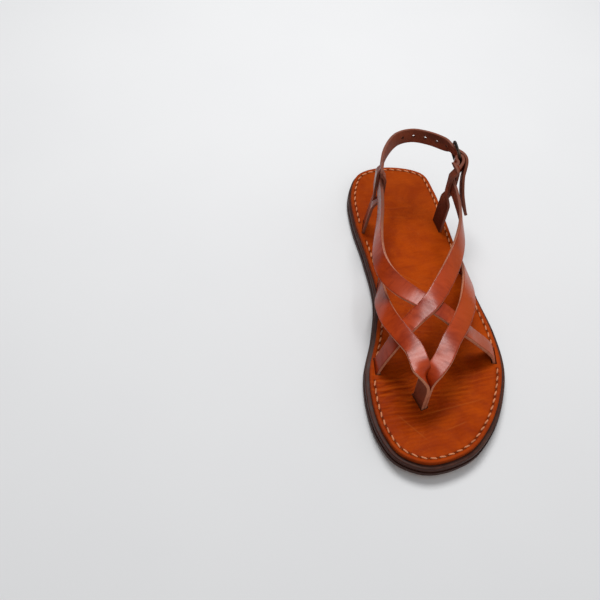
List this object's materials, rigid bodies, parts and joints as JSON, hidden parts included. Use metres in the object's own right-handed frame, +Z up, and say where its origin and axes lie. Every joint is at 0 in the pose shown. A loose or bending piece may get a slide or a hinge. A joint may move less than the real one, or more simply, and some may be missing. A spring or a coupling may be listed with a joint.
{
  "type": "sandal",
  "caption": "Left leather thong sandal with crossing straps, a toe post, ankle tabs and a buckled heel strap on a flat layered sole.",
  "frame": {"origin": "on the tread, under the middle of the heel", "axes": "+X to the outer side of the left foot, -Y to the toe, +Z up"},
  "size_m": [0.0917, 0.255, 0.0706],
  "materials": {
    "crepe_rubber": "pebbled crepe",
    "dark_leather": "waxed edge",
    "insole_leather": "polished",
    "strap_leather": "polished",
    "antique_metal": "antique dark",
    "waxed_thread": "waxed twist"
  },
  "bodies": {
    "root": {"outsole": "crepe_rubber", "midsole": "dark_leather", "insole": "insole_leather", "upper": "strap_leather", "ankle_tab_outer": "strap_leather", "ankle_tab_inner": "strap_leather", "buckle_frame": "antique_metal", "buckle_prong": "antique_metal"}
  },
  "joints": []
}
